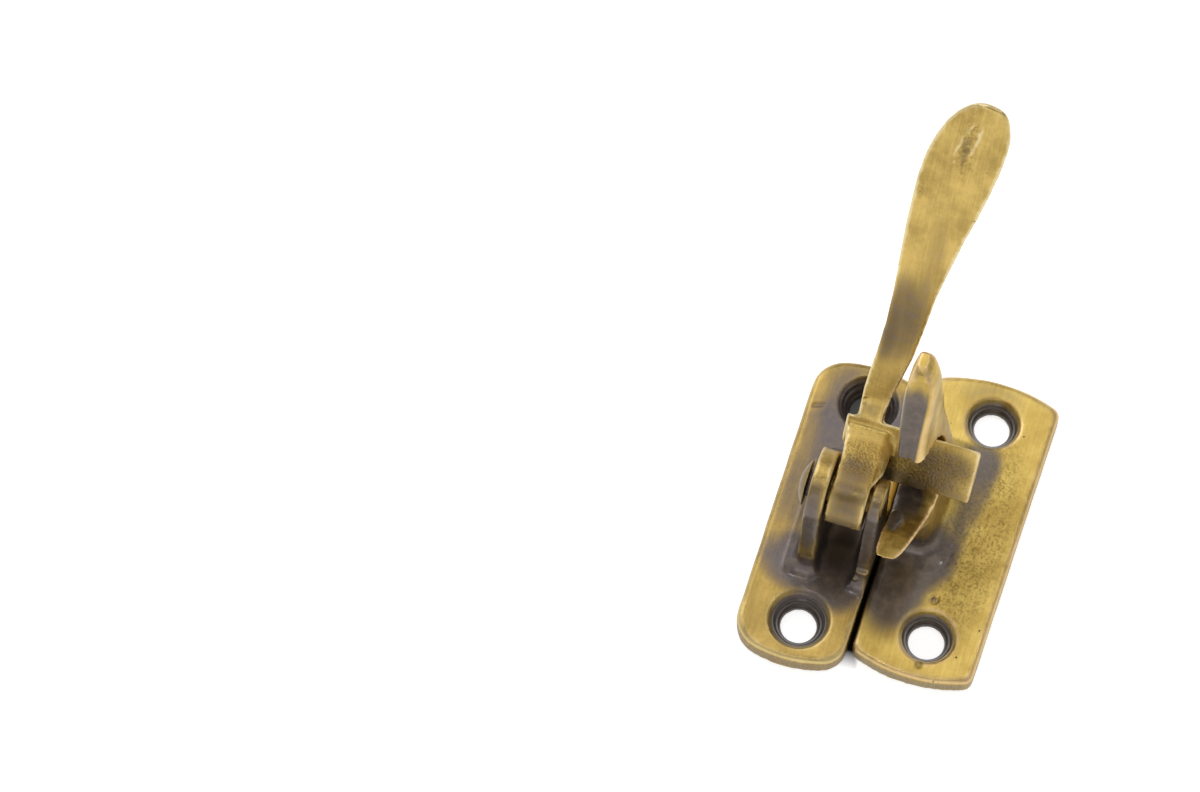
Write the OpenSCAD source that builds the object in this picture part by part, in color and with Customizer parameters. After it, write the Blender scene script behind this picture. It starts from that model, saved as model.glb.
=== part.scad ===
// Cast brass cupboard catch: a bed plate with two ears, a riveted pin, a swinging
// lever whose cross bar hooks into a slotted beak, and the beak's own keeper plate.
// X runs from the bed plate to the keeper, Y along the plates, Z out of the door face.
// The origin is midway between the bed plate's screw holes, on its back face.

/* [Bed plate] */
// Width of the bed plate
bed_w = 15; // [14:0.5:17]
// Length of the bed plate over its crowned ends
bed_len = 43.8; // [42:0.2:48]
// Thickness of the bed plate
bed_t = 3.2; // [2.4:0.1:4]
// How far the bed plate reaches to the keeper's side of its screw holes
bed_right = 7; // [6.6:0.1:7.2]
// Height of the crown on the ends of the bed plate
bed_crown = 1.8; // [1:0.1:3]
// Corner radius on the outer side of the bed plate
bed_corner_left = 4.6; // [2:0.2:5]
// Corner radius on the keeper's side of the bed plate
bed_corner_right = 3.6; // [2:0.2:5]
// Distance between the bed plate's screw holes
bed_pitch = 32.1; // [30:0.1:34]

/* [Keeper plate] */
// Width of the keeper plate
keeper_w = 17.2; // [16:0.2:20]
// Length of the keeper plate over its crowned ends
keeper_len = 44.2; // [42:0.2:48]
// Thickness of the keeper plate
keeper_t = 2.9; // [2.4:0.1:4]
// Height of the crown on the ends of the keeper plate
keeper_crown = 1.7; // [1:0.1:3]
// Corner radius of the keeper plate
keeper_corner = 1.5; // [1:0.1:3]
// Distance between the keeper plate's screw holes
keeper_pitch = 31.8; // [30:0.1:34]
// Distance from the keeper plate's inner edge to its screw holes
keeper_inset = 9; // [8:0.2:10]
// How much narrower the keeper plate is at its near end
keeper_taper = 1; // [0:0.1:2]
// How far the keeper plate is set along from the bed plate
keeper_shift = 2.7; // [0:0.1:4]
// Gap between the two plates
plate_gap = 0.5; // [0.4:0.1:1.5]

/* [Screw holes] */
// Diameter of the screw holes
screw_d = 4.6; // [4:0.1:5]
// Diameter of the countersinks in the bed plate
bed_sink_d = 8.2; // [7:0.1:8.6]
// Diameter of the countersinks in the keeper plate
keeper_sink_d = 7.4; // [7:0.1:8.6]
// Straight land under each countersink
screw_land = 0.65; // [0.4:0.05:1]
// Radius of the rolled top edge of both plates
edge_r = 0.7; // [0.3:0.1:1]

/* [Ears and pin] */
// Height of the pin above the back of the bed plate
pin_z = 17; // [16:0.2:19]
// How far the pin lies to the near side of the screw holes' midpoint
pin_back = 3.2; // [2:0.1:4]
// Diameter of the pin
pin_d = 3.4; // [2.8:0.1:3.6]
// Diameter of the pin's domed head
pin_head_d = 6.4; // [5.4:0.1:7.4]
// Height of the pin's domed head
pin_head_h = 1.1; // [0.6:0.1:1.6]
// Thickness of the outer ear
ear_left_t = 2.4; // [1.8:0.1:3]
// Thickness of the keeper's side ear
ear_right_t = 1.8; // [1.4:0.1:2.2]
// Radius of the outer ear about the pin
ear_left_r = 5; // [4.4:0.1:5.2]
// Radius of the keeper's side ear about the pin
ear_right_r = 3.2; // [3:0.1:4.4]
// How far the outer ear's foot reaches behind the pin
ear_left_far = 11.8; // [9:0.2:13]
// How far the keeper's side ear's foot reaches behind the pin
ear_right_far = 4; // [3:0.1:4.2]
// How far the ears' feet reach in front of the pin
ear_foot_near = 5.6; // [5.2:0.1:7]
// Radius of the fillet at the outer ear's foot
foot_fillet = 3.2; // [1:0.1:3.4]
// Radius of the fillets inside the slot and at the keeper's side ear's foot
slot_fillet = 1.1; // [0.5:0.1:1.6]
// Gap between the outer ear and the pin's head
pin_head_gap = 0.6; // [0.3:0.1:1]

/* [Lever] */
// Width of the lever's eye
eye_w = 4.9; // [4:0.1:6]
// Radius of the lever's eye
eye_r = 4.2; // [4:0.1:5]
// Clearance on each side of the eye, between the ears
eye_gap = 0.25; // [0.15:0.05:0.4]
// Clearance between the pin and its bore in the eye
pin_gap = 0.06; // [0.02:0.01:0.1]
// Length of the cross bar, from the eye's inner side to its end
bar_len = 12; // [11:0.2:13]
// Width of the cross bar where it leaves the eye
bar_root_w = 9.1; // [8:0.1:9.4]
// Width of the cross bar at its end
bar_end_w = 8.8; // [7:0.1:9]
// Thickness of the cross bar
bar_t = 3; // [2.4:0.1:3.4]
// Distance from the pin to the cross bar's flat face
bar_offset = 5.3; // [5.2:0.1:5.5]
// Angle of the lever's flat face above the door face
lever_lean = 62; // [56:1:66]
// Radius that blends the eye into the cross bar's flat face
eye_blend = 1.2; // [1:0.1:3]
// How far the cross bar's root stands out on the outer side of the eye
bar_flare = 0.9; // [0.2:0.1:1]
// Length of the handle, from the pin to its tip
handle_len = 61.6; // [50:0.5:70]
// Width of the handle at its broadest
handle_w = 9.5; // [7:0.1:10]
// Thickness of the handle at its broadest
handle_t = 3.9; // [3:0.1:5]
// How far the tip leans to the keeper's side
handle_lean = 5.9; // [0:0.1:6.5]

/* [Beak] */
// Height of the beak above the back of the keeper plate
beak_h = 40.4; // [38:0.2:42]
// Thickness of the beak at its jaws
beak_t = 4.3; // [3.6:0.1:5]
// How far the beak's top leans to the bed plate's side
beak_lean = 1.4; // [0:0.1:1.5]
// Clearance between the swinging bar and the slot
slot_gap = 0.4; // [0.3:0.05:0.8]
// How far the lower jaw's tongue reaches in front of the pin
tongue_reach = 9.6; // [8:0.2:11]
// Thickness of the lower jaw's tongue
tongue_t = 2.1; // [1.6:0.1:2.8]
// Radius of the fillet at the beak's foot
beak_fillet = 2.6; // [1:0.1:3]
// Radius of the flute down the front of the upper jaw
flute_r = 2.2; // [1.6:0.1:2.8]
// Depth of the flute at its lower end
flute_depth = 0.7; // [0.3:0.1:0.9]

/* [Hidden] */
curve_fn = 48;
overrun = 1;

keeper_left = bed_right + plate_gap;
keeper_x = keeper_left + keeper_inset;
slot_left = -eye_gap;
slot_w = eye_w + 2 * eye_gap;
ear_right_x = slot_left + slot_w;
pin_y = -pin_back;

bar_end_x = eye_w + bar_len;
bar_low = -0.1 * bar_offset;

// Height of each step of a rolled edge and how far it is set in, as shares of edge_r
roll_shares = [[0, 0], [0.45, 0.11], [0.8, 0.4], [1, 1]];

// Points of an arc about a centre, with or without its first point
function arc(c, r, from, to, n, first = 0) = [for (i = [first:n])
    let (turn = from + (to - from) * i / n)
    c + r * [cos(turn), sin(turn)]];

// Half width, centre height and radius give the corner circle tangent to side and crown
function crown_r(hw, crown) = (hw * hw + crown * crown) / (2 * crown);
function corner_y(half, big, hw, r) = half - big + sqrt((big - r) * (big - r) - (hw - r) * (hw - r));
function corner_turn(half, big, hw, r) = atan2(corner_y(half, big, hw, r) - half + big, hw - r);

// One crowned end of a plate: right corner, crown, left corner
function crowned_end(mid, half, hw, crown, r_left, r_right) =
    let (big = crown_r(hw, crown),
         turn_right = corner_turn(half, big, hw, r_right),
         turn_left = corner_turn(half, big, hw, r_left))
    concat(arc([mid + hw - r_right, corner_y(half, big, hw, r_right)], r_right, 0, turn_right, 6),
           arc([mid, half - big], big, turn_right, 180 - turn_left, 12, 1),
           arc([mid - hw + r_left, corner_y(half, big, hw, r_left)], r_left, 180 - turn_left, 180, 6, 1));

function flip(points) = [for (p = points) [p.x, -p.y]];
function reversed(points) = [for (i = [len(points) - 1:-1:0]) points[i]];

// Outline of a plate, set in by a margin all round
function plate_outline(left, w, len, crown, r_left, r_right, margin) =
    let (end = crowned_end(left + w / 2, len / 2 - margin, w / 2 - margin, crown,
                           r_left - margin, r_right - margin))
    concat(end, reversed(flip(end)));
function tapered(points, left, w, len, taper) =
    [for (p = points) [p.x - taper * (p.x - left) / w * (len / 2 - p.y) / len, p.y]];

// Rings of points, one above the other, closed into a solid
module loft(rings) {
    n = len(rings[0]);
    last = len(rings) - 1;
    sides = [for (k = [0:last - 1]) for (i = [0:n - 1])
        [k * n + i, (k + 1) * n + i, (k + 1) * n + (i + 1) % n, k * n + (i + 1) % n]];
    bottom = [for (i = [0:n - 1]) i];
    top = [for (i = [n - 1:-1:0]) last * n + i];
    polyhedron([for (ring = rings) for (p = ring) p], concat(sides, [bottom, top]));
}

function raise(points, z) = [for (p = points) [p.x, p.y, z]];

// Flat plate with crowned ends and a rolled top edge
module rolled_plate(left, w, len, t, crown, r_left, r_right, taper) {
    function outline(margin) =
        tapered(plate_outline(left, w, len, crown, r_left, r_right, margin), left, w, len, taper);
    rolled = [for (s = roll_shares) raise(outline(s[1] * edge_r), t - edge_r + s[0] * edge_r)];
    loft(concat([raise(outline(0), 0)], rolled));
}

// Countersunk screw hole
module screw_hole(t, sink_d) {
    sink_h = t - screw_land;
    translate([0, 0, -overrun]) cylinder(d = screw_d, h = t + 2 * overrun, $fn = curve_fn);
    translate([0, 0, screw_land])
        cylinder(d1 = screw_d, d2 = sink_d, h = sink_h, $fn = curve_fn);
    translate([0, 0, t]) cylinder(d = sink_d, h = overrun, $fn = curve_fn);
}

// Where a line from a point touches a circle about the middle, on one side
function touch(p, r, side) =
    let (turn = atan2(p.y, p.x) + side * acos(r / norm(p)))
    r * [cos(turn), sin(turn)];

// Quarter-round flare of a cast foot: how far it spreads at a share of its height
function flare(r, share) = r * (1 - sqrt(1 - (1 - share) * (1 - share)));

// Rectangle with softened corners, as 4 corner arcs
function soft_box(x0, x1, y0, y1, r) = concat(
    arc([x1 - r, y1 - r], r, 0, 90, 4), arc([x0 + r, y1 - r], r, 90, 180, 4),
    arc([x0 + r, y0 + r], r, 180, 270, 4), arc([x1 - r, y0 + r], r, 270, 360, 4));

// Flared foot of an ear, one radius on its outer side and ends and another on its inner side
module foot(x0, x1, y0, y1, left, ends, right) {
    high = max(left, ends, right);
    loft([for (share = [0:0.125:1])
        raise(soft_box(x0 - flare(left, share), x1 + flare(right, share),
                       y0 - flare(ends, share), y1 + flare(ends, share),
                       (x1 - x0) / 4 + flare(min(left, ends, right), share)),
              bed_t - edge_r / 2 + share * high)]);
}

// Ear: a round about the pin over a foot that slopes out behind
module ear(x, t, r, far) {
    base = bed_t - edge_r - pin_z;
    far_foot = [far, base];
    translate([x, pin_y, pin_z]) rotate([90, 0, 90]) linear_extrude(t) {
        circle(r, $fn = curve_fn);
        polygon([[0, 0], [-r, 0], [-ear_foot_near, base], far_foot, touch(far_foot, r, 1)]);
    }
}

module ears() {
    near = pin_y - ear_foot_near;
    left = slot_left - ear_left_t;
    ear(left, ear_left_t, ear_left_r, ear_left_far);
    ear(ear_right_x, ear_right_t, ear_right_r, ear_right_far);
    foot(left, slot_left, near, pin_y + ear_left_far - foot_fillet, foot_fillet, foot_fillet, slot_fillet);
    foot(ear_right_x, bed_right, near, pin_y + ear_right_far, slot_fillet, foot_fillet, 0);
}

module bed_plate() {
    color("#9A8148") difference() {
        union() {
            rolled_plate(bed_right - bed_w, bed_w, bed_len, bed_t, bed_crown,
                         bed_corner_left, bed_corner_right, 0);
            ears();
        }
        for (side = [-1, 1])
            translate([0, side * bed_pitch / 2, 0]) screw_hole(bed_t, bed_sink_d);
        translate([slot_left - ear_left_t - overrun, pin_y, pin_z]) rotate([0, 90, 0])
            cylinder(d = pin_d, h = ear_left_t + slot_w + ear_right_t + 2 * overrun, $fn = curve_fn);
    }
}

// Riveted pin with its domed head outside the outer ear
module pivot_pin() {
    head_x = slot_left - ear_left_t;
    shank = ear_left_t + slot_w + ear_right_t;
    dome_r = (pin_head_d * pin_head_d / 4 + pin_head_h * pin_head_h) / (2 * pin_head_h);
    color("#B99B4E") translate([head_x, pin_y, pin_z]) rotate([0, 90, 0]) {
        translate([0, 0, -pin_head_gap]) cylinder(d = pin_d, h = shank + pin_head_gap, $fn = curve_fn);
        translate([0, 0, -pin_head_gap]) intersection() {
            translate([0, 0, dome_r - pin_head_h]) sphere(dome_r, $fn = curve_fn);
            translate([0, 0, -pin_head_h]) cylinder(d = pin_head_d, h = pin_head_h, $fn = curve_fn);
        }
    }
}

// Cross bar section in the lever's own plane: flat towards the pin, round away from it
function bar_width(along) = bar_root_w + (bar_end_w - bar_root_w) * max(0, along);
function bar_section(w, t) = [for (u = [1:-0.2:-1.01])
    [bar_low + w / 2 * (1 + u), -bar_offset - t * (1 - pow(abs(u), 2.2))]];
function at_x(points, x) = [for (p = points) [x, p.x, p.y]];

// Reach of the bar about the pin where it enters the beak
bar_entry = (keeper_left - eye_w) / bar_len;
bar_reach = max([for (p = bar_section(bar_width(bar_entry), bar_t)) norm(p)]);
slot_r = bar_reach + slot_gap;

// Handle stations: distance from the pin, width, thickness, set-back of the flat face and lean,
// as shares of handle_len, handle_w, handle_t, bar_offset and handle_lean
handle_shares = [
    [0.100, 0.38, 0.50, 1.16, 0.00], [0.15, 0.37, 0.70, 1.17, 0.00], [0.20, 0.41, 0.80, 1.12, 0.03],
    [0.25, 0.46, 0.84, 1.04, 0.10], [0.32, 0.50, 0.88, 0.93, 0.21], [0.40, 0.53, 0.92, 0.81, 0.28],
    [0.49, 0.58, 0.96, 0.69, 0.336], [0.58, 0.70, 1.00, 0.58, 0.40], [0.66, 0.81, 1.00, 0.49, 0.465],
    [0.73, 0.91, 0.98, 0.42, 0.55], [0.79, 0.98, 0.95, 0.37, 0.615], [0.85, 1.00, 0.90, 0.33, 0.695],
    [0.90, 0.96, 0.80, 0.30, 0.78], [0.94, 0.87, 0.68, 0.28, 0.865], [0.97, 0.74, 0.52, 0.27, 0.935],
    [0.99, 0.57, 0.36, 0.26, 0.985], [1.00, 0.40, 0.20, 0.26, 1.00]];
function handle_ring(s) = [for (turn = [180:-15:0])
    [eye_w * 0.43 + s[4] * handle_lean - s[1] * handle_w / 2 * cos(turn),
     s[0] * handle_len,
     -s[3] * bar_offset - s[2] * handle_t * sin(turn)]];

// Side of the lever between eye and cross bar: a hollow curve from the eye onto the flat face
module lever_block() {
    across = sqrt((eye_r + eye_blend) * (eye_r + eye_blend) - (eye_blend - bar_offset) * (eye_blend - bar_offset));
    centre = [across, eye_blend - bar_offset];
    start = atan2(-centre.y, -centre.x);
    hollow = arc(centre, eye_blend, start + 360, 270, 8);
    block_top = [bar_low + bar_root_w, -bar_offset];
    block_mid = [bar_low + bar_root_w / 2, -bar_offset - bar_t / 2];
    circle(eye_r, $fn = curve_fn);
    polygon(concat([[0, 0]], hollow, [block_top, block_mid, [bar_low, -bar_offset]]));
}

// Cross bar section with its lower edge drawn up, where the root clears the outer ear
function drawn_section(share) = [for (p = bar_section(bar_root_w, bar_t))
    [p.x + share * (bar_low + bar_root_w - p.x), -bar_offset + (p.y + bar_offset) * (1 - share)]];

// Eye, its block, the cross bar and the handle, in the lever's own plane
module lever_shape() {
    rotate([90, 0, 90]) linear_extrude(eye_w) lever_block();
    loft(concat([at_x(reversed(drawn_section(0.5)), -bar_flare), at_x(reversed(drawn_section(0.3)), 0)],
                [for (x = [eye_w / 4, eye_w, bar_end_x])
                    at_x(reversed(bar_section(bar_width((x - eye_w) / bar_len), bar_t)), x)]));
    loft([for (s = handle_shares) handle_ring(s)]);
}

module lever() {
    color("#B0924C") translate([0, pin_y, pin_z]) difference() {
        rotate([lever_lean, 0, 0]) lever_shape();
        translate([-overrun, 0, 0]) rotate([0, 90, 0])
            cylinder(d = pin_d + 2 * pin_gap, h = eye_w + 2 * overrun, $fn = curve_fn);
    }
}

// Beak sections up its height: height, near edge, far edge, inner lean and outer side.
// Heights are shares of beak_h; edges behind the pin are shares of slot_r and the near edge in
// front of it a share of tongue_reach; the sides are shares of beak_lean and beak_t
beak_foot_shares = [0.12, 1.49, 0.06, 1.42];
beak_shares = [
    [0.22, 0.08, 1.46, 0.06, 1.34], [0.30, 0.00, 1.42, 0.05, 1.27], [0.36, -0.18, 1.38, 0.03, 1.20],
    [0.415, -0.40, 1.35, 0.02, 1.13], [0.47, -0.64, 1.32, -0.03, 1.07], [0.525, -0.86, 1.30, -0.11, 1.00],
    [0.565, -1.00, 1.29, -0.31, 0.93], [0.59, -1.02, 1.28, -0.40, 0.90], [0.63, -0.46, 1.28, -0.46, 0.84],
    [0.665, 0.18, 1.29, -0.52, 0.78], [0.715, 0.27, 1.26, -0.66, 0.73], [0.78, 0.38, 1.19, -0.82, 0.70],
    [0.85, 0.49, 1.11, -0.92, 0.675], [0.91, 0.59, 1.065, -0.94, 0.64], [0.95, 0.665, 1.06, -0.84, 0.56],
    [0.975, 0.72, 1.08, -0.70, 0.45], [0.99, 0.78, 1.10, -0.57, 0.34], [1.00, 0.86, 1.09, -0.43, 0.17]];
function softened(v) = sign(v) * pow(abs(v), 0.45);
function beak_ring(z, near, far, inner, outer) = [for (turn = [0:360 / 28:359])
    [(inner + outer) / 2 + (outer - inner) / 2 * softened(cos(turn)),
     (near + far) / 2 + (far - near) / 2 * softened(sin(turn)), z]];
function beak_edge(share) = pin_y + share * (share < 0 ? tongue_reach : slot_r);
function beak_flare(share) = beak_ring(keeper_t + share * beak_fillet,
    beak_edge(beak_foot_shares[0]) - flare(beak_fillet, share),
    beak_edge(beak_foot_shares[1]) + flare(beak_fillet, share),
    keeper_left + beak_foot_shares[2] * beak_lean,
    keeper_left + beak_foot_shares[3] * beak_t + flare(beak_fillet, share));
function beak_station(s) = beak_ring(s[0] * beak_h, beak_edge(s[1]), beak_edge(s[2]),
    keeper_left + s[3] * beak_lean, keeper_left + s[4] * beak_t);

// Top of the lower jaw's tongue, running down into the slot, as shares of slot_r about the pin
trough_shares = [[-1.30, 0.66], [-0.93, 0.38], [-0.70, 0.26], [-0.46, 0.10], [-0.225, -0.11],
                 [0.06, -0.38], [0.35, -0.59], [0.69, -0.66], [1.15, -0.66]];
// Open mouth between the jaws, as shares of slot_r about the pin
mouth_shares = [[0.13, 1.06], [0.13, 1.22], [-0.40, 1.75], [-1.60, 1.75]];

// Flute down the front of the upper jaw: its low and high end behind and above the pin, and the
// middle of the jaw there, as shares of slot_r, beak_h and beak_t
flute_low_shares = [0.22, 0.70, 0.28];
flute_high_shares = [0.70, 0.975, 0.10];

module slot_cut() {
    trough = [for (p = trough_shares) p * slot_r + [0, tongue_t]];
    ceiling = [[1.15, 1.15], [-1.30, 1.15]] * slot_r;
    mouth = [for (p = mouth_shares) p * slot_r];
    depth = 2 * beak_t + beak_lean + overrun;
    translate([keeper_left - beak_lean - overrun, pin_y, pin_z]) rotate([90, 0, 90])
        linear_extrude(depth) {
            intersection() {
                circle(slot_r, $fn = curve_fn);
                polygon(concat(trough, ceiling));
            }
            polygon(concat([for (i = [0:4]) trough[i]], mouth));
        }
}

module flute() {
    low = [keeper_left + flute_low_shares[2] * beak_t, pin_y + flute_low_shares[0] * slot_r,
           flute_low_shares[1] * beak_h];
    high = [keeper_left + flute_high_shares[2] * beak_t, pin_y + flute_high_shares[0] * slot_r,
            flute_high_shares[1] * beak_h];
    run = high - low;
    lean = atan2(run.y, run.z);
    side = atan2(run.x, run.z / cos(lean));
    translate(low) rotate([-lean, 0, 0]) translate([0, flute_depth - flute_r, 0]) rotate([0, side, 0])
        translate([0, 0, -overrun])
            cylinder(r1 = flute_r, r2 = flute_r * 0.75, h = norm(run) + 2 * overrun, $fn = curve_fn);
}

module beak() {
    foot = [for (share = [0:0.2:1]) beak_flare(share)];
    root = [for (p = foot[0]) [p.x, p.y, keeper_t - edge_r]];
    difference() {
        loft(concat([root], foot, [for (s = beak_shares) beak_station(s)]));
        slot_cut();
        flute();
    }
}

module keeper_plate() {
    color("#A68D4B") difference() {
        union() {
            translate([0, keeper_shift, 0])
                rolled_plate(keeper_left, keeper_w, keeper_len, keeper_t, keeper_crown,
                             keeper_corner, keeper_corner, keeper_taper);
            beak();
        }
        for (side = [-1, 1])
            translate([keeper_x, keeper_shift + side * keeper_pitch / 2, 0])
                screw_hole(keeper_t, keeper_sink_d);
    }
}

bed_plate();
pivot_pin();
lever();
keeper_plate();
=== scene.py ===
"""Cast brass cupboard catch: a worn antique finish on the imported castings, a white
floor, soft lamps and the camera. Sizes and places are in millimetres in the part's
own frame and are turned to metres where Blender takes them."""
import math

import bmesh
import bpy
import numpy as np
from mathutils import Matrix, Vector, noise


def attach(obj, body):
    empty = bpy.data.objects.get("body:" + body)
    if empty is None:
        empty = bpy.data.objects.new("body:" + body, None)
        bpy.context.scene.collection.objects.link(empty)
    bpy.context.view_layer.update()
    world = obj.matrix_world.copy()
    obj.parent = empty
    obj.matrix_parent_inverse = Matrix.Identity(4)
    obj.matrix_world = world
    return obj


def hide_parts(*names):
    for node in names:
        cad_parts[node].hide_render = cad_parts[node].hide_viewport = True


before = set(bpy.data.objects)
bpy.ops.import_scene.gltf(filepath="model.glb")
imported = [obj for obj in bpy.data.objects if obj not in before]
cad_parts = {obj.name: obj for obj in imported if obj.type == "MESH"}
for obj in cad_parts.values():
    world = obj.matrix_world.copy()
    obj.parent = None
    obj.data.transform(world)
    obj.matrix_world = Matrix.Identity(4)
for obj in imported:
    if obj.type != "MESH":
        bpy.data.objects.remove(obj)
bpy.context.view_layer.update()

MM = 0.001
TURN_DEG = 62          # lean of the lever's flat underside
PIN = Vector((2.45, -3.2, 17.0))
EYE_W = 4.9            # width of the lever's eye, from x 0
SKIN_STEP = 0.2        # spacing of the points on a casting's skin
EDGE_PASSES = 9        # smoothing passes that round a cast edge to about 0.4 mm
PIN_STEP, PIN_PASSES = 0.12, 3   # the turned pin is finer and crisper
BED_HOLES, BED_SINK_R, BED_TOP = [(0, -16.05), (0, 16.05)], 4.1, 3.2
KEEPER_HOLES, KEEPER_SINK_R, KEEPER_TOP = [(16.5, 18.6), (16.5, -13.2)], 3.7, 2.9
HOLE_EDGE_R = 2.4      # just outside the 4.6 mm screw holes
RING_STEP, RING_HEIGHT = 0.6, 0.05   # rings that the countersinking drill left
EDGE_FULL, HOLLOW_FULL = 0.06, 0.45  # how far a point stands out or lies in where wear or tone is full

# ---------------------------------------------------------------- places on the lever
ALONG = Vector((0, math.cos(math.radians(TURN_DEG)), math.sin(math.radians(TURN_DEG))))
OUT = Vector((0, -math.sin(math.radians(TURN_DEG)), math.cos(math.radians(TURN_DEG))))


def on_lever(x, along, out):
    """A place on the lever from its sideways place, distance from the pin and height."""
    return Vector((x, PIN.y, PIN.z)) + ALONG * along + OUT * out


# ---------------------------------------------------------------- castings
def even_skin(node, name, step=SKIN_STEP, passes=EDGE_PASSES, lumps=(), soft_spots=()):
    """A casting's mesh made from its CAD node: even small faces and softened edges.
    Lumps are closed rings of places, bridged into solids that melt into the skin."""
    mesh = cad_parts[node].data.copy()
    mesh.name = name
    mesh.materials.clear()
    form = bmesh.new()
    form.from_mesh(mesh)
    bmesh.ops.remove_doubles(form, verts=form.verts, dist=0.00001)
    for rings in lumps:
        add_lump(form, rings)
    form.to_mesh(mesh)
    form.free()
    piece = bpy.data.objects.new(name, mesh)
    bpy.context.scene.collection.objects.link(piece)
    skin = piece.modifiers.new("even skin", "REMESH")
    skin.mode = "VOXEL"
    skin.voxel_size = step * MM
    edges = piece.modifiers.new("rounded edges", "SMOOTH")
    edges.factor = 0.5
    edges.iterations = passes
    settle(piece)
    for centre, radius, more in soft_spots:
        spot = piece.vertex_groups.new(name="soft spot")
        place = points(piece)
        share = falloff(np.linalg.norm(place - np.array(centre), axis=1) / radius)
        for index in np.nonzero(share > 0.01)[0]:
            spot.add([int(index)], float(share[index]), "REPLACE")
        blend = piece.modifiers.new("soft spot", "SMOOTH")
        blend.factor = 0.5
        blend.iterations = more
        blend.vertex_group = spot.name
        settle(piece)
        piece.vertex_groups.clear()
    return piece


def add_lump(form, rings):
    """Bridges closed rings of places into a solid with its normals outwards."""
    loops = []
    for ring in rings:
        corners = [form.verts.new(place * MM) for place in ring]
        loops.append([form.edges.new((corners[i - 1], corners[i])) for i in range(len(corners))])
    sides = []
    for first, second in zip(loops, loops[1:]):
        sides += bmesh.ops.bridge_loops(form, edges=first + second)["faces"]
    for end in (loops[0], loops[-1]):
        sides += bmesh.ops.contextual_create(form, geom=end)["faces"]
    bmesh.ops.recalc_face_normals(form, faces=sides)


def settle(piece):
    """Turns a piece's modifiers into its mesh."""
    shown = piece.evaluated_get(bpy.context.evaluated_depsgraph_get())
    made = bpy.data.meshes.new_from_object(shown, preserve_all_data_layers=True,
                                           depsgraph=bpy.context.evaluated_depsgraph_get())
    made.name = piece.name
    piece.modifiers.clear()
    piece.data = made


def points(piece):
    """A piece's points, in millimetres."""
    flat = np.empty(len(piece.data.vertices) * 3, np.float32)
    piece.data.vertices.foreach_get("co", flat)
    return flat.reshape(-1, 3).astype(float) / MM


def normals(piece):
    """A piece's directions out of its skin, one for each point."""
    flat = np.empty(len(piece.data.vertices) * 3, np.float32)
    piece.data.vertices.foreach_get("normal", flat)
    return flat.reshape(-1, 3).astype(float)


def falloff(share):
    """1 at the middle of a spot, 0 past its edge, with a soft bell between."""
    inside = np.clip(1 - np.asarray(share) ** 2, 0, 1)
    return inside * inside * (3 - 2 * inside)


def move_skin(piece, depth):
    """Moves each point of a skin along its normal by its own depth in millimetres."""
    moved = (points(piece) + normals(piece) * depth[:, None]) * MM
    piece.data.vertices.foreach_set("co", moved.astype(np.float32).ravel())
    piece.data.update()


def rolling(place, size, seed):
    """Slow noise from -1 to 1 over a skin, with hills of a given size in millimetres."""
    shift = Vector((seed * 7.3, seed * 3.1, seed * 5.7))
    return np.array([noise.noise(Vector(p) / size + shift) for p in place])


def dent(place, centre, along, across, deep, direction):
    """A long shallow dent: its half length, half width, depth and direction."""
    way = np.array(direction) / np.linalg.norm(direction)
    away = place - np.array(centre)
    down = away @ way
    side = np.linalg.norm(away - down[:, None] * way, axis=1)
    return -deep * falloff(np.sqrt((down / along) ** 2 + (side / across) ** 2))


def wear_and_shade_maps(piece, patina_and_shade, grain):
    """Stores on each point how convex it is, how hollow, how dark and how rough-cast."""
    mesh = piece.data
    place = points(piece)
    facing = normals(piece)
    ends = np.empty(len(mesh.edges) * 2, np.int32)
    mesh.edges.foreach_get("vertices", ends)
    a, b = ends.reshape(-1, 2).T
    count = len(place)
    ties = np.bincount(a, minlength=count) + np.bincount(b, minlength=count)

    def smoothed(values, passes):
        for _ in range(passes):
            total = np.stack([np.bincount(a, values[b, k], count) + np.bincount(b, values[a, k], count)
                              for k in range(values.shape[1])], axis=1)
            values = values * 0.4 + 0.6 * total / ties[:, None]
        return values

    near = smoothed(place, 12)
    far = smoothed(near, 90)
    edge = ((place - near) * facing).sum(axis=1)
    hollow = -((place - far) * facing).sum(axis=1)
    store(mesh, "edge", np.clip(edge / EDGE_FULL, 0, 1))
    store(mesh, "hollow", np.clip(hollow / HOLLOW_FULL, 0, 1))
    store(mesh, "patina_and_shade", np.clip(patina_and_shade(place, facing), 0, 2))
    store(mesh, "grain", np.clip(grain(place, facing), 0, 1))


def store(mesh, name, values):
    """Keeps one number for each point, for the material to read."""
    kept = mesh.attributes.new(name, "FLOAT", "POINT")
    kept.data.foreach_set("value", values.astype(np.float32))


def spots(place, table):
    """Soft round or long spots: centre, half sizes along the axes, and amount."""
    clear = np.ones(len(place))
    for centre, half, amount in table:
        share = np.sqrt((((place - np.array(centre)) / np.array(half)) ** 2).sum(axis=1))
        clear *= 1 - amount * falloff(share)
    return 1 - clear


def on_cone(place, top):
    """True where a point lies between a plate's back and its top face."""
    return (place[:, 2] > 0.3) * (place[:, 2] < top + 0.1)


def sinks(place, holes, radius, top):
    """The dark toned cones of the countersinks, up to just under their rubbed rims."""
    dark = np.zeros(len(place))
    for x, y in holes:
        away = np.hypot(place[:, 0] - x, place[:, 1] - y)
        dark = np.maximum(dark, 1.45 * np.clip((radius - 0.15 - away) / 0.6, 0, 1))
    return dark * on_cone(place, top)


def turned(place, holes, radius, top):
    """The height of the drill's rings in the countersinks."""
    rings = np.zeros(len(place))
    for x, y in holes:
        away = np.hypot(place[:, 0] - x, place[:, 1] - y)
        inside = np.clip((radius - 0.2 - away) / 0.3, 0, 1) * np.clip((away - HOLE_EDGE_R) / 0.2, 0, 1)
        rings += RING_HEIGHT * inside * np.cos(2 * math.pi * away / RING_STEP)
    return rings * on_cone(place, top)


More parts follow.
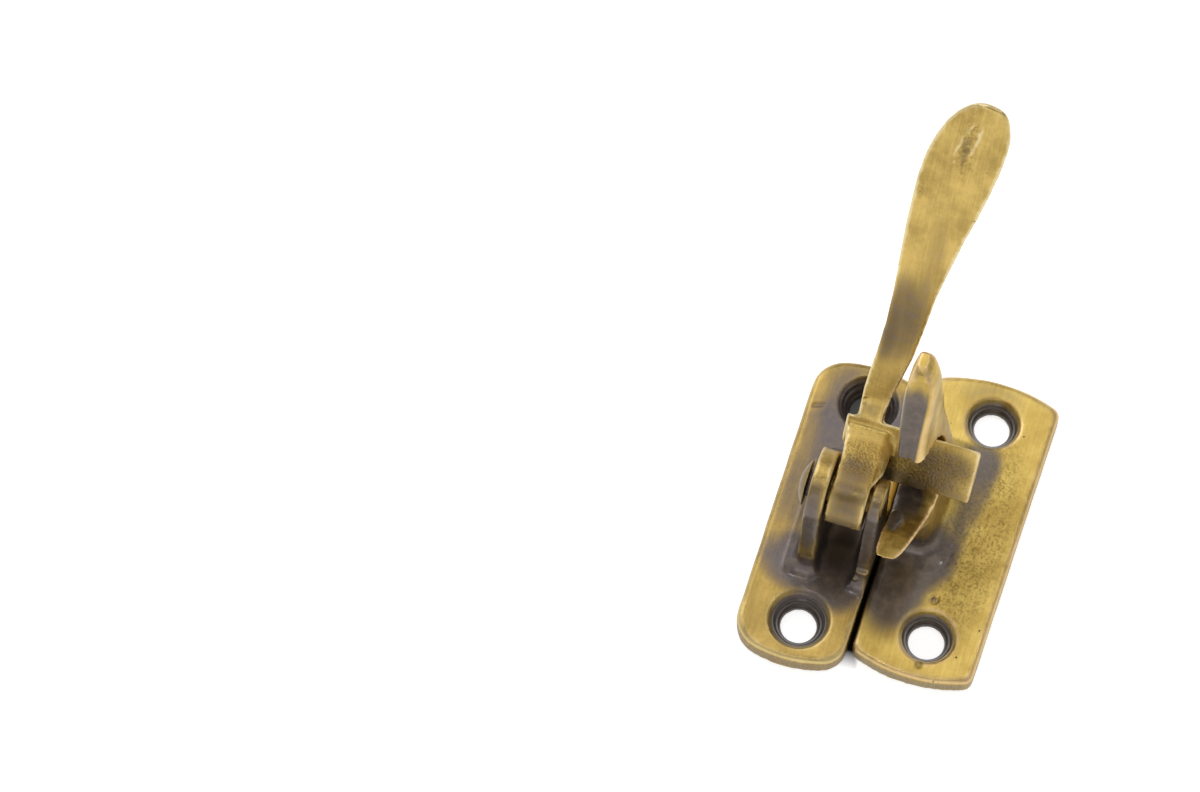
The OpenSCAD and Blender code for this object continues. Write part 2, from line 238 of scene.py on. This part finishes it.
def on_wall(place, facing, top):
    """True on a plate's side walls, below the rounding of its top edge."""
    return (np.abs(facing[:, 2]) < 0.4) * (place[:, 2] < top)


# ---------------------------------------------------------------- colours
def hex_colour(code):
    """A colour written as sRGB hex, turned to Blender's linear colour."""
    parts = [int(code[i:i + 2], 16) / 255 for i in (1, 3, 5)]
    return [p / 12.92 if p <= 0.04045 else ((p + 0.055) / 1.055) ** 2.4 for p in parts] + [1.0]


def add(tree, kind, links=(), **settings):
    """Adds a node with its settings, then sets or links its inputs."""
    made = tree.nodes.new("ShaderNode" + kind)
    for key, value in settings.items():
        setattr(made, key, value)
    for key, value in dict(links).items():
        if isinstance(value, bpy.types.NodeSocket):
            tree.links.new(value, made.inputs[key])
        else:
            made.inputs[key].default_value = value
    return made


def antique_brass(name, bright, deep, rubbed, patina_and_shade, streak_way, rough=0.36, lacquer=0.0):
    """Cast yellow brass left to tone: satin gold where hands and doors rub it, purple-brown
    where they don't and as painted shade where its dark map holds shade, with the pebbled skin of a sand mould
    and fine file streaks."""
    material = bpy.data.materials.new(name)
    material.use_nodes = True
    tree = material.node_tree
    tree.nodes.clear()
    where = add(tree, "TexCoord").outputs["Object"]
    edge = add(tree, "Attribute", attribute_name="edge").outputs["Fac"]
    hollow = add(tree, "Attribute", attribute_name="hollow").outputs["Fac"]
    toned = add(tree, "Attribute", attribute_name="patina_and_shade").outputs["Fac"]
    grain = add(tree, "Attribute", attribute_name="grain").outputs["Fac"]

    # Clouds of tone about 5 mm across, mottles about 1.2 mm, and sand grain about 0.3 mm,
    # which is coarser than moulding sand so that it shows
    clouds = add(tree, "TexNoise", {"Vector": where, "Scale": 1 / (5.0 * MM), "Detail": 3.0}).outputs["Fac"]
    mottle = add(tree, "TexNoise", {"Vector": where, "Scale": 1 / (1.2 * MM), "Detail": 4.0,
                                    "Roughness": 0.6}).outputs["Fac"]
    sand = add(tree, "TexNoise", {"Vector": where, "Scale": 1 / (0.33 * MM), "Detail": 2.0,
                                  "Roughness": 0.5}).outputs["Fac"]
    # File and polish streaks 0.25 mm apart and about 4 mm long
    drawn = add(tree, "Mapping", {"Vector": where, "Scale": streak_way}).outputs["Vector"]
    streak = add(tree, "TexNoise", {"Vector": drawn, "Scale": 1 / (0.25 * MM), "Detail": 2.0}).outputs["Fac"]
    # Blow holes up to 0.2 mm across, in about half of cells 1.9 mm wide
    cells = add(tree, "TexVoronoi", {"Vector": where, "Scale": 1 / (1.9 * MM)})
    chance = add(tree, "SeparateColor", {"Color": cells.outputs["Color"]}).outputs["Red"]
    pit_size = add(tree, "MapRange", {"Value": chance, "From Min": 0.55, "From Max": 1.0,
                                      "To Min": 0.0, "To Max": 0.1}).outputs["Result"]
    pits = add(tree, "Math", {0: pit_size, 1: cells.outputs["Distance"]}, operation="SUBTRACT").outputs["Value"]
    pit = add(tree, "MapRange", {"Value": pits, "From Min": 0.0, "From Max": 0.05}).outputs["Result"]

    def times(first, second):
        return add(tree, "Math", {0: first, 1: second}, operation="MULTIPLY").outputs["Value"]

    def sum_of(*terms):
        total = None
        for value, weight in terms:
            scaled = times(value, weight)
            total = scaled if total is None else add(
                tree, "Math", {0: total, 1: scaled}, operation="ADD").outputs["Value"]
        return total

    def ramp(value, low, high, bottom=0.0, top=1.0):
        return add(tree, "MapRange", {"Value": value, "From Min": low, "From Max": high,
                                      "To Min": bottom, "To Max": top},
                   interpolation_type="SMOOTHSTEP").outputs["Result"]

    def mixed(share, first, second):
        return add(tree, "Mix", {0: share, 6: first, 7: second}, data_type="RGBA").outputs[2]

    gold = mixed(ramp(sum_of((clouds, 0.55), (mottle, 0.35), (streak, 0.25)), 0.4, 0.78),
                 hex_colour(deep), hex_colour(bright))
    speckled = mixed(times(ramp(sand, 0.55, 0.32, 0.0, 0.7), grain), gold, hex_colour("#7E6638"))
    # The dark skin is patina, and painted shade where the map paints it: under the lever's cross bar, on the ear
    # and slot beside it, and on the jaw's flute
    dark = mixed(ramp(mottle, 0.35, 0.75), hex_colour(patina_and_shade), hex_colour("#74665A"))
    soot_and_shade = ramp(toned, 1.05, 1.8)     # nearly black where nothing rubs, and as painted deep shade under the lever's bar and on the jaw's flute
    dark = mixed(soot_and_shade, dark, hex_colour("#382E25"))
    tone = ramp(sum_of((toned, 1.0), (hollow, 0.35), (clouds, 0.5), (mottle, 0.3), (edge, -0.2)),
                0.5, 1.35)
    skin = mixed(tone, speckled, dark)
    worn = ramp(sum_of((edge, 1.0), (mottle, 0.6), (clouds, 0.5), (toned, -0.85)),
                0.75, 1.7, 0.0, 0.85)
    skin = mixed(worn, skin, hex_colour(rubbed))
    skin = mixed(pit, skin, hex_colour("#3E3326"))

    height = sum_of((times(sand, grain), 2.0), (streak, 0.12), (mottle, 0.25), (pit, -0.5))
    relief = add(tree, "Bump", {"Height": height, "Strength": 0.55, "Distance": 0.10 * MM})
    finish = sum_of((ramp(mottle, 0.3, 0.7, rough - 0.06, rough + 0.06), 1.0), (grain, 0.08),
                    (streak, 0.04), (soot_and_shade, 0.12))
    surface = add(tree, "BsdfPrincipled", {
        "Base Color": skin, "Metallic": ramp(tone, 0, 1, 1.0, 0.72),
        "Roughness": finish, "Normal": relief.outputs["Normal"],
        "Coat Weight": ramp(toned, 0.5, 1.0, 0.0, lacquer), "Coat Roughness": 0.14})
    out = add(tree, "OutputMaterial")
    tree.links.new(surface.outputs["BSDF"], out.inputs["Surface"])
    return material


# ---------------------------------------------------------------- bed plate
# Tables of spots: centre, half sizes along the axes, and amount
BED_TONE_AND_SHADE = [
    ((-3.0, 19.5, 3.2), (6.0, 4.5, 3.0), 0.5),
    ((-2.0, 12.5, 3.2), (6.5, 9.0, 6.0), 0.9), ((-4.6, 2.0, 3.2), (3.6, 10.0, 4.0), 0.6),
    ((2.0, -9.0, 3.2), (9.0, 7.0, 5.0), 1.0), ((2.5, -3.5, 6.0), (4.2, 8.0, 7.0), 1.0),
    # The spot about x 6 darkens the ear nearer the keeper: patina and painted shade under the lever's cross bar
    ((-4.0, -8.5, 3.6), (5.0, 5.0, 3.5), 0.8), ((6.0, -4.0, 11.0), (2.2, 9.0, 11.0), 1.0),
    ((-1.4, -5.0, 13.0), (2.2, 7.0, 10.0), 0.75),
    ((3.5, 12.0, 3.2), (5.5, 9.0, 4.0), 0.8), ((0.4, -3.0, 11.0), (1.4, 9.0, 9.0), 0.5),
    ((-2.2, -6.5, 15.5), (3.2, 6.0, 9.5), 0.9), ((-8.0, 2.0, 3.2), (2.6, 20.0, 3.0), 0.45)]
BED_SOOT_AND_SHADE = [
    # The spots about x 5.4 to 6 are painted shade on the ear under the lever's cross bar
    ((6.0, -4.0, 16.0), (2.4, 6.5, 7.5), 0.7), ((2.4, -3.5, 5.0), (3.4, 7.5, 7.5), 0.9),
    ((5.4, -4.0, 9.0), (1.6, 5.5, 8.0), 0.5), ((1.5, 16.0, 3.2), (5.0, 5.0, 4.0), 0.6),
    ((2.0, 5.0, 3.2), (4.5, 6.0, 4.0), 0.5)]


def bed_dark(place, facing):
    side = 0.5 * on_wall(place, facing, 2.6)
    back = 0.8 * (facing[:, 2] < -0.7)
    return np.maximum.reduce([spots(place, BED_TONE_AND_SHADE) + 0.8 * spots(place, BED_SOOT_AND_SHADE), side, back,
                              sinks(place, BED_HOLES, BED_SINK_R, BED_TOP)])


def bed_grain(place, facing):
    return 0.25 + 0.6 * on_wall(place, facing, 2.8)


bed = even_skin("bed_plate", "bed casting")
bed.name = "bed_casting"
place = points(bed)
burr = -dent(place, (5.3, -9.2, 4.7), 0.5, 0.5, 0.35, (1, 0, 0))
nick = dent(place, (-6.3, 14.0, 3.2), 1.2, 0.5, 0.12, (1, 0.4, 0))
move_skin(bed, 0.05 * rolling(place, 3.5, 1) - 0.05
          + turned(place, BED_HOLES, BED_SINK_R, BED_TOP) + burr + nick)
wear_and_shade_maps(bed, bed_dark, bed_grain)

# ---------------------------------------------------------------- pin
PIN_TONE = [((-3.2, -3.2, 17.0), (1.2, 3.2, 3.2), 0.6)]
pin = even_skin("pivot_pin", "pin casting", PIN_STEP, PIN_PASSES)
pin.name = "pivot_rivet"
wear_and_shade_maps(pin, lambda place, facing: spots(place, PIN_TONE) + 0.4,
          lambda place, facing: np.full(len(place), 0.1))

# ---------------------------------------------------------------- lever
LEVER_TONE_AND_SHADE = [
    (on_lever(3.2, 26.0, -5.0), (5.5, 10.5, 10.5), 0.72),   # neck
    # Painted shade: darker towards the cross bar's lower edge
    (on_lever(9.0, -0.6, -5.6), (13.0, 4.4, 3.8), 0.75),    # cross bar's lower edge
    (on_lever(1.6, 23.0, -5.4), (1.8, 7.0, 7.0), 0.5),
    (on_lever(5.6, 38.0, -3.5), (1.8, 10.0, 9.0), 0.35),
    (on_lever(2.4, 9.6, -5.8), (2.8, 1.2, 1.4), 0.4),
    (on_lever(12.5, 4.5, -5.4), (6.5, 7.0, 4.0), 0.7),
    ((2.4, -3.2, 21.0), (4.0, 6.0, 3.4), 0.78),             # eye
    ((2.4, -7.0, 18.0), (4.0, 3.0, 4.0), 0.7),
    (on_lever(6.2, 54.5, -1.5), (0.8, 2.4, 4.4), 0.45)]     # dent near the tip
LEVER_GRAIN = [
    (on_lever(2.2, 4.8, -1.2), (4.5, 3.2, 3.2), 0.9),
    (on_lever(11.5, 3.5, -5.4), (8.0, 4.8, 4.8), 0.95),
    (on_lever(6.3, 55.0, -1.5), (1.5, 4.5, 6.5), 0.8),
    (on_lever(2.0, 47.0, -2.0), (1.0, 1.5, 1.8), 0.7)]


def lever_dark(place, facing):
    return spots(place, LEVER_TONE_AND_SHADE)


def lever_grain(place, facing):
    return 0.12 + spots(place, LEVER_GRAIN)


# Cast webs that fill the corner between eye and cross bar, and the neck's root, drawn as
# distance from the pin and height
WEB_FLOOR = -5.6       # just inside the cross bar's flat face
EYE_WEB = [(7.6, WEB_FLOOR), (7.25, -5.25), (6.4, -4.0), (5.4, -1.95),
           (4.55, 0.0), (3.82, 1.7), (3.0, 1.7), (3.0, WEB_FLOOR)]
NECK_WEB = [(8.0, -7.4), (8.0, -5.5), (8.9, -5.45), (10.0, -5.85), (12.0, -6.15), (12.0, -7.4)]
# The web's stations: place in x, how far it sinks, how far it leans out, and its least
# distance from the pin, which keeps it clear of the ears
EYE_STATIONS = [(0.0, 0.0, 0.28, 3.0), (EYE_W, 0.0, 0.0, 3.0), (5.4, 0.9, 0.0, 3.5), (5.9, 2.8, 0.0, 3.6)]
eye_web = [[on_lever(x - max(0.0, along - 4.9) * flare, max(along, least), max(WEB_FLOOR, out - drop))
            for along, out in EYE_WEB] for x, drop, flare, least in EYE_STATIONS]
neck_web = [[on_lever(x, along, out) for along, out in NECK_WEB] for x in (0.5, 3.7)]
lever = even_skin("lever", "lever casting", lumps=[eye_web, neck_web], soft_spots=[
    (on_lever(2.4, 3.8, -3.6), 5.5, 12),      # eye web
    (on_lever(2.4, 3.4, 2.2), 3.2, 40),
    (on_lever(5.6, 4.8, -4.2), 3.0, 25),
    (on_lever(2.2, 9.4, -5.6), 3.2, 14),      # neck's root
    (on_lever(7.6, 61.0, -1.6), 5.0, 50),     # tip
    (on_lever(10.2, 60.0, -1.3), 3.4, 200)])
lever.name = "lever_casting"
place = points(lever)
lean = ALONG + Vector((0.27, 0, 0))
move_skin(lever, 0.05 * rolling(place, 4.0, 2) - 0.04
          + dent(place, on_lever(6.2, 55.0, -1.5), 5.0, 0.9, 0.32, lean) * (0.6 + rolling(place, 0.9, 6))
          + dent(place, on_lever(6.6, 52.5, -1.7), 1.6, 1.0, 0.12, lean)
          + dent(place, on_lever(0.9, 10.6, -5.9), 0.7, 0.5, 0.2, ALONG)
          + dent(place, on_lever(2.0, 47.0, -2.1), 1.3, 0.6, 0.1, ALONG)
          + dent(place, on_lever(3.3, 40.7, -2.8), 0.35, 0.35, 0.12, ALONG))
wear_and_shade_maps(lever, lever_dark, lever_grain)

# ---------------------------------------------------------------- keeper with its beak
KEEPER_TONE_AND_SHADE = [
    ((8.7, -6.0, 17.3), (1.7, 4.5, 3.5), 0.75), ((15.9, -8.0, 2.9), (0.6, 0.6, 0.6), 0.8),
    ((15.5, 22.0, 3.0), (7.0, 4.0, 3.0), 0.45),
    ((10.5, -7.5, 3.0), (6.0, 10.0, 5.0), 1.0), ((13.5, -3.0, 4.0), (5.5, 6.0, 4.5), 0.95),
    ((15.5, 0.0, 3.0), (3.2, 6.0, 4.0), 0.5), ((17.0, 10.0, 3.0), (3.2, 11.0, 4.0), 0.7),
    # The spots about x 8.5 to 9 and y 2 are painted shade under the lever's cross bar, in the keeper's slot
    ((16.0, 12.5, 3.0), (4.4, 4.0, 4.0), 0.75), ((9.0, 1.5, 11.0), (3.4, 6.5, 5.5), 0.9),
    ((8.5, 2.0, 17.0), (2.0, 6.5, 5.0), 0.9), ((16.5, -17.3, 2.9), (0.8, 1.0, 1.0), 0.5)]
# The first spot below, at x 9.2, is painted shade under the lever's cross bar, between the bar and the tongue
KEEPER_SOOT_AND_SHADE = [((9.2, -2.0, 14.5), (3.4, 5.6, 4.8), 0.95), ((8.5, -6.0, 3.0), (2.4, 7.0, 4.0), 0.35)]
KEEPER_GRAIN = [((19.0, 2.0, 3.0), (5.5, 19.0, 3.0), 1.0), ((15.0, 3.0, 6.0), (3.5, 7.0, 6.0), 0.5)]


def keeper_dark(place, facing):
    side = 0.6 * on_wall(place, facing, 2.3)
    back = 0.8 * (facing[:, 2] < -0.7) * (place[:, 2] < 0.5)
    # Painted shade on the upper jaw's flute: skin that faces the front, from the jaw's end up to its top, fading
    # out towards the top
    flute = 1.15 * np.clip((-facing[:, 1] - 0.3) / 0.2, 0, 1) * np.clip((place[:, 2] - 25.5) / 1.0, 0, 1) \
        * np.clip((9.8 - place[:, 0]) / 0.5, 0, 1) * np.clip((40.0 - place[:, 2]) / 4.0, 0, 1)
    return np.maximum.reduce([spots(place, KEEPER_TONE_AND_SHADE) + 0.8 * spots(place, KEEPER_SOOT_AND_SHADE), side, back,
                              flute, sinks(place, KEEPER_HOLES, KEEPER_SINK_R, KEEPER_TOP)])


def keeper_grain(place, facing):
    return 0.12 + spots(place, KEEPER_GRAIN) + 0.6 * on_wall(place, facing, 2.4)


keeper = even_skin("keeper_plate", "keeper casting")
keeper.name = "keeper_casting"
place = points(keeper)
# The tongue's trough and its chipped left edge, a struck ring, and a run by the near hole
scoop = dent(place, (8.8, -8.4, 18.6), 6.8, 1.6, 0.8, (0.0, 0.86, -0.5))
chips = -0.35 * falloff(np.abs(place[:, 0] - 7.2) / 0.6) * falloff(np.abs(place[:, 1] + 7.5) / 5.5) \
    * (np.abs(place[:, 2] - 18.0) < 5.0) * np.clip(rolling(place, 0.6, 5) + 0.1, 0, 1)
ring = -0.12 * falloff((np.hypot(place[:, 0] - 15.9, place[:, 1] + 8.0) - 0.45) / 0.3) \
    * (place[:, 2] > 2.4)
run = dent(place, (16.5, -17.2, 2.9), 0.9, 0.6, 0.12, (0, 1, 0))
move_skin(keeper, 0.05 * rolling(place, 3.5, 3) - 0.05 + scoop + chips + ring
          + turned(place, KEEPER_HOLES, KEEPER_SINK_R, KEEPER_TOP) + run
          + 0.05 * np.minimum(spots(place, KEEPER_GRAIN), 1) * rolling(place, 0.8, 4))
wear_and_shade_maps(keeper, keeper_dark, keeper_grain)

# ---------------------------------------------------------------- finishes
LENGTHWAYS = (1.0, 0.06, 0.06)  # streaks run along the plates or the handle
FINISHES = [
    # Sand-cast and hardly touched: brown-purple about the ears, with painted shade on the ear under the lever's
    # cross bar, and with the sheen of old lacquer
    (bed, "bed_plate", "plates", "bed_brass",
     antique_brass("sand-cast antique brass, bed plate", "#C6A75F", "#988049", "#DCC68C", "#5A5252",
                   LENGTHWAYS, lacquer=0.5)),
    # Turned and riveted over: darker and plain, with a rubbed rim
    (pin, "pivot_pin", "plates", "pin_brass",
     antique_brass("turned antique brass, rivet", "#A08748", "#75603A", "#C8AE74", "#565050",
                   LENGTHWAYS, 0.38)),
    # Cast, filed and rubbed bright by hands: satin gold with a brown neck
    (lever, "lever", "lever", "lever_brass",
     antique_brass("hand-rubbed antique brass, lever", "#D6B86C", "#A88E50", "#E6D4A4", "#665438",
                   LENGTHWAYS, 0.36)),
    # Sand-cast, and rubbed by the lever's bar: yellow and pebbly, dark about the beak's foot
    (keeper, "keeper_plate", "plates", "keeper_brass",
     antique_brass("sand-cast antique brass, keeper", "#DEC26E", "#B0944E", "#E0C090", "#5A5048",
                   LENGTHWAYS, lacquer=0.5))]
for piece, node, body, slot, finish in FINISHES:
    piece.data.materials.append(finish)
    for face in piece.data.polygons:
        face.use_smooth = True
    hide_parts(node)
    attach(piece, body)

# ---------------------------------------------------------------- floor, world and lamps
bpy.ops.mesh.primitive_plane_add(size=4.0, location=(0.008, 0.0, -0.0002))
floor = bpy.context.object
floor.name = "floor"
# Matt white paper: even and without shine, so it glows a little where it is seen
PAPER_GLOW, SHADE_GLOW = 0.72, 0.04
white = bpy.data.materials.new("matt white paper")
white.use_nodes = True
paper = white.node_tree
paper.nodes.clear()
ray = add(paper, "LightPath")
seen = add(paper, "Math", {0: ray.outputs["Is Camera Ray"], 1: ray.outputs["Is Glossy Ray"]},
           operation="MAXIMUM").outputs["Value"]
seen = add(paper, "Math", {0: seen, 1: ray.outputs["Is Transmission Ray"]}, operation="MAXIMUM").outputs["Value"]
# The paper under the bed plate's far hole lies in the lever's shade
on_paper = add(paper, "TexCoord").outputs["Object"]
there = add(paper, "VectorMath", {0: on_paper, 1: (-0.008, 0.0165, 0.0)},
            operation="DISTANCE").outputs["Value"]
shade = add(paper, "MapRange", {"Value": there, "From Min": 3.2 * MM, "From Max": 4.4 * MM,
                                "To Min": SHADE_GLOW, "To Max": PAPER_GLOW}).outputs["Result"]
# and so does the strip under the gap between the plates
strip = add(paper, "SeparateXYZ", {0: on_paper})
side = add(paper, "Math", {0: strip.outputs["X"], 1: 0.00075}, operation="ADD").outputs["Value"]
side = add(paper, "Math", {0: side}, operation="ABSOLUTE").outputs["Value"]
side = add(paper, "MapRange", {"Value": side, "From Min": 0.5 * MM, "From Max": 1.6 * MM}).outputs["Result"]
ends = add(paper, "Math", {0: strip.outputs["Y"]}, operation="ABSOLUTE").outputs["Value"]
ends = add(paper, "MapRange", {"Value": ends, "From Min": 17.0 * MM, "From Max": 19.5 * MM}).outputs["Result"]
ends = add(paper, "Math", {0: ends, 1: side}, operation="MAXIMUM").outputs["Value"]
shade = add(paper, "Math", {0: shade, 1: ends}, operation="MULTIPLY").outputs["Value"]
shine = add(paper, "Math", {0: seen, 1: shade}, operation="MULTIPLY").outputs["Value"]
glow = add(paper, "Emission", {"Color": hex_colour("#FFFFFF"), "Strength": shine})
lit = add(paper, "Math", {0: shade, 1: 1 / PAPER_GLOW}, operation="MULTIPLY").outputs["Value"]
tint = add(paper, "Mix", {0: lit, 6: hex_colour("#1A1714"), 7: hex_colour("#C8C8C8")}, data_type="RGBA")
matt = add(paper, "BsdfDiffuse", {"Color": tint.outputs[2]})
both = add(paper, "AddShader", {0: glow.outputs["Emission"], 1: matt.outputs["BSDF"]})
paper.links.new(both.outputs["Shader"], add(paper, "OutputMaterial").inputs["Surface"])
floor.data.materials.append(white)

world = bpy.data.worlds.new("studio")
bpy.context.scene.world = world
world.use_nodes = True
room = world.node_tree
room.nodes.clear()
ray = add(room, "LightPath")
up = add(room, "SeparateXYZ", {0: add(room, "TexCoord").outputs["Generated"]}).outputs["Z"]
dome = add(room, "MapRange", {"Value": up, "From Min": 0.1, "From Max": 0.8, "To Min": 0.95, "To Max": 0.4},
           interpolation_type="SMOOTHSTEP").outputs["Result"]
strength = add(room, "Mix", {0: ray.outputs["Is Camera Ray"], 2: dome, 3: 1.0},
               data_type="FLOAT").outputs[0]
sky = add(room, "Background", {"Color": hex_colour("#FFFFFF"), "Strength": strength})
room.links.new(sky.outputs["Background"], add(room, "OutputWorld").inputs["Surface"])


def soft_lamp(name, place, aim, size, radiance):
    """A rectangular soft box of a given size in millimetres and brightness."""
    lamp = bpy.data.lights.new(name, "AREA")
    lamp.shape = "RECTANGLE"
    lamp.size, lamp.size_y = size[0] * MM, size[1] * MM
    lamp.energy = radiance * math.pi * lamp.size * lamp.size_y
    holder = bpy.data.objects.new(name, lamp)
    bpy.context.scene.collection.objects.link(holder)
    holder.location = Vector(place) * MM
    holder.rotation_euler = (Vector(aim) - Vector(place)).to_track_quat("-Z", "Y").to_euler()


MIDDLE = (8, 0, 10)
soft_lamp("window", (-420, 300, 560), MIDDLE, (420, 300), 2.6)
soft_lamp("top box", (-60, 290, 660), MIDDLE, (440, 340), 1.5)
soft_lamp("front box", (60, -520, 300), MIDDLE, (260, 160), 1.6)
# Two small lamps give the crisp lights on lacquered fillets
soft_lamp("small lamp", (-50, -130, 590), MIDDLE, (30, 30), 90.0)
soft_lamp("second small lamp", (215, 120, 560), MIDDLE, (30, 30), 60.0)

# ---------------------------------------------------------------- camera
# Solved from the holes, the plates' outlines and the pin
lens = bpy.data.cameras.new("camera")
camera = bpy.data.objects.new("camera", lens)
bpy.context.scene.collection.objects.link(camera)
lens.lens = 125.87
lens.sensor_width = 36
lens.clip_start = 0.01
right = Vector((0.95223, 0.30537, 0.0)).normalized()
upward = Vector((-0.27726, 0.86456, 0.41914))
upward = (upward - upward.dot(right) * right).normalized()
aim = Matrix((right, upward, right.cross(upward))).transposed().to_4x4()
aim.translation = Vector((0.03705, -0.21624, 0.50950))
camera.matrix_world = aim
bpy.context.scene.camera = camera
bpy.context.scene.view_settings.view_transform = "Standard"
